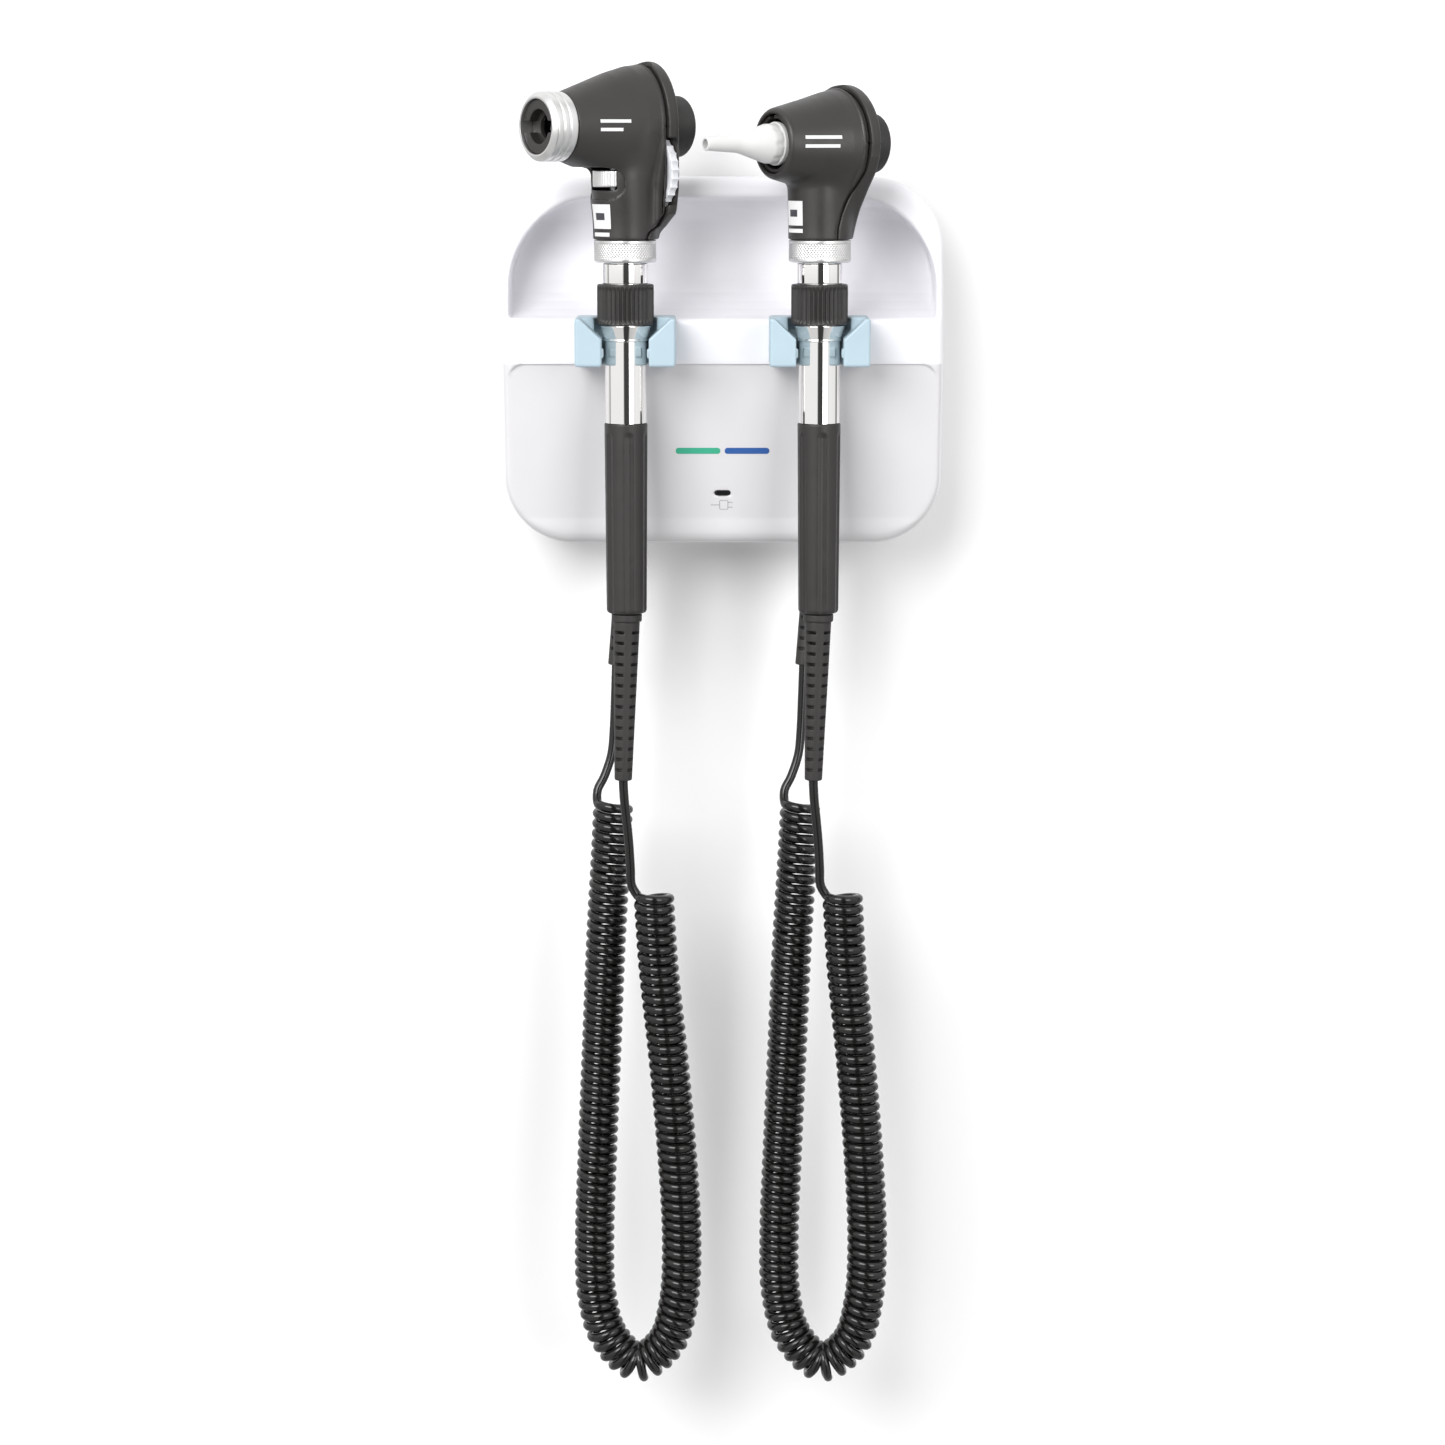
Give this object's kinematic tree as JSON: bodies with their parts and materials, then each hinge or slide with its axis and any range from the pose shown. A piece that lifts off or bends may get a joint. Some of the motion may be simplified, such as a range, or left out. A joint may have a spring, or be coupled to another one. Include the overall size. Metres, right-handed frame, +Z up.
{
  "type": "wall-mounted otoscope and ophthalmoscope station",
  "caption": "Wall unit with two cradles holding a corded otoscope and a corded ophthalmoscope on chrome-necked handles with coiled cords.",
  "frame": {"origin": "centre of the wall unit's flat back face, on the wall", "axes": "+Y into the wall, -Y towards the user, +Z up, +X to the user's right; the ophthalmoscope hangs at -X and the otoscope at +X"},
  "size_m": [0.208, 0.1215, 0.6331],
  "materials": {
    "shell_white": "satin off-white moulded plastic",
    "plate_grey": "matte light grey",
    "cradle_blue": "satin light blue",
    "shell_black": "fine-grained charcoal",
    "grip_black": "satin dark grey",
    "rubber_black": "matte",
    "cord_black": "glossy flexible PVC",
    "chrome": "mirror polished",
    "satin_metal": "satin",
    "contact_brass": "plain",
    "inner_steel": "plain",
    "copper": "enamelled copper wire",
    "board_green": "solder mask",
    "clear_glass": "clear",
    "frosted_plastic": "frosted translucent",
    "wheel_white": "satin light grey",
    "dark_window": "dark glossy"
  },
  "bodies": {
    "wall_station": {"back_plate": "plate_grey", "front_housing": "shell_white", "left_cradle": "cradle_blue", "right_cradle": "cradle_blue", "status_light": "dark_window", "circuit_board": "board_green", "transformer_core": "inner_steel", "transformer_winding": "copper", "power_inlet": "shell_black", "housing_screw_1": "inner_steel", "housing_screw_2": "inner_steel", "housing_screw_3": "inner_steel", "housing_screw_4": "inner_steel", "left_wall_relief": "rubber_black", "left_wall_lead": "cord_black", "left_coil": "cord_black", "right_wall_relief": "rubber_black", "right_wall_lead": "cord_black", "right_coil": "cord_black"},
    "ophthalmoscope_handle": {"ophthalmoscope_handle_tube": "chrome", "ophthalmoscope_grip": "grip_black", "ophthalmoscope_contact_plug": "contact_brass", "ophthalmoscope_strain_relief": "rubber_black", "left_handle_lead": "cord_black"},
    "ophthalmoscope_dimmer": {"ophthalmoscope_dimmer_ring": "grip_black"},
    "otoscope_handle": {"otoscope_handle_tube": "chrome", "otoscope_grip": "grip_black", "otoscope_contact_plug": "contact_brass", "otoscope_strain_relief": "rubber_black", "right_handle_lead": "cord_black"},
    "otoscope_dimmer": {"otoscope_dimmer_ring": "grip_black"},
    "otoscope_head": {"otoscope_front_casing": "shell_black", "otoscope_rear_cover": "shell_black", "otoscope_head_collar": "satin_metal", "otoscope_eyepiece": "rubber_black", "otoscope_eyepiece_lens": "clear_glass", "otoscope_specula_cone": "dark_window", "otoscope_light_guide": "clear_glass", "otoscope_lamp": "contact_brass", "otoscope_insufflation_port": "inner_steel"},
    "otoscope_wheel": {"otoscope_focus_wheel": "grip_black"},
    "otoscope_lens_carrier": {"otoscope_lens_sleeve": "grip_black", "otoscope_focus_lens": "clear_glass"},
    "otoscope_tip_lock": {"otoscope_tip_grip": "grip_black"},
    "otoscope_tip": {"otoscope_speculum": "frosted_plastic"},
    "ophthalmoscope_head": {"ophthalmoscope_front_casing": "shell_black", "ophthalmoscope_rear_cover": "shell_black", "ophthalmoscope_head_collar": "satin_metal", "ophthalmoscope_front_ring": "satin_metal", "ophthalmoscope_eyecup_socket": "shell_black", "ophthalmoscope_objective_lens": "clear_glass", "ophthalmoscope_brow_rest": "rubber_black", "ophthalmoscope_eyepiece_lens": "clear_glass", "ophthalmoscope_mirror": "inner_steel", "ophthalmoscope_lamp": "contact_brass", "ophthalmoscope_dial_spindle": "inner_steel"},
    "ophthalmoscope_wheel": {"ophthalmoscope_focus_wheel": "wheel_white"},
    "ophthalmoscope_lens_carrier": {"ophthalmoscope_lens_sleeve": "grip_black", "ophthalmoscope_focus_lens": "clear_glass"},
    "ophthalmoscope_dial": {"ophthalmoscope_aperture_dial": "satin_metal"}
  },
  "joints": [
    {"name": "ophthalmoscope_lift_off", "type": "slide", "parent": "wall_station", "child": "ophthalmoscope_handle", "axis": [0, -0.6, 0.8], "range_m": [0, 0.08]},
    {"name": "ophthalmoscope_dimmer_turn", "type": "hinge", "parent": "ophthalmoscope_handle", "child": "ophthalmoscope_dimmer", "pos_m": [-0.045, -0.08, 0.0288], "axis": [0, 0, 1], "range_deg": [0, 180]},
    {"name": "ophthalmoscope_head_twist", "type": "hinge", "parent": "ophthalmoscope_handle", "child": "ophthalmoscope_head", "pos_m": [-0.045, -0.08, 0.0545], "axis": [0, 0, 1], "range_deg": [0, 35]},
    {"name": "ophthalmoscope_focus_turn", "type": "hinge", "parent": "ophthalmoscope_head", "child": "ophthalmoscope_wheel", "pos_m": [-0.03158, -0.07803, 0.0895], "axis": [-0.7986, -0.6018, 0], "range_deg": [-150, 150]},
    {"name": "ophthalmoscope_lens_travel", "type": "slide", "parent": "ophthalmoscope_head", "child": "ophthalmoscope_lens_carrier", "axis": [-0.7986, -0.6018, 0], "range_m": [-0.003, 0.003]},
    {"name": "otoscope_lift_off", "type": "slide", "parent": "wall_station", "child": "otoscope_handle", "axis": [0, -0.6, 0.8], "range_m": [0, 0.08]},
    {"name": "otoscope_dimmer_turn", "type": "hinge", "parent": "otoscope_handle", "child": "otoscope_dimmer", "pos_m": [0.045, -0.08, 0.0288], "axis": [0, 0, 1], "range_deg": [0, 200]},
    {"name": "otoscope_head_twist", "type": "hinge", "parent": "otoscope_handle", "child": "otoscope_head", "pos_m": [0.045, -0.08, 0.0545], "axis": [0, 0, 1], "range_deg": [0, 35]},
    {"name": "otoscope_focus_turn", "type": "hinge", "parent": "otoscope_head", "child": "otoscope_wheel", "pos_m": [0.04549, -0.06716, 0.0805], "axis": [-0.8387, -0.5446, 0], "range_deg": [-90, 90]},
    {"name": "otoscope_lens_travel", "type": "slide", "parent": "otoscope_head", "child": "otoscope_lens_carrier", "axis": [-0.8387, -0.5446, 0], "range_m": [-0.003, 0.003]},
    {"name": "otoscope_tip_lock_turn", "type": "hinge", "parent": "otoscope_head", "child": "otoscope_tip_lock", "pos_m": [0.02823, -0.09089, 0.1025], "axis": [-0.8387, -0.5446, 0], "range_deg": [0, 30]},
    {"name": "otoscope_tip_pull", "type": "slide", "parent": "otoscope_head", "child": "otoscope_tip", "axis": [-0.8387, -0.5446, 0], "range_m": [0, 0.03]},
    {"name": "ophthalmoscope_aperture_turn", "type": "hinge", "parent": "ophthalmoscope_head", "child": "ophthalmoscope_dial", "pos_m": [-0.04979, -0.08361, 0.0866], "axis": [0, 0, 1], "range_deg": [-150, 150]}
  ],
  "couplings": [
    {"joint": "ophthalmoscope_lens_travel", "follows": "ophthalmoscope_focus_turn", "m_per_rad": 0.001145},
    {"joint": "otoscope_lens_travel", "follows": "otoscope_focus_turn", "m_per_rad": 0.0019}
  ]
}
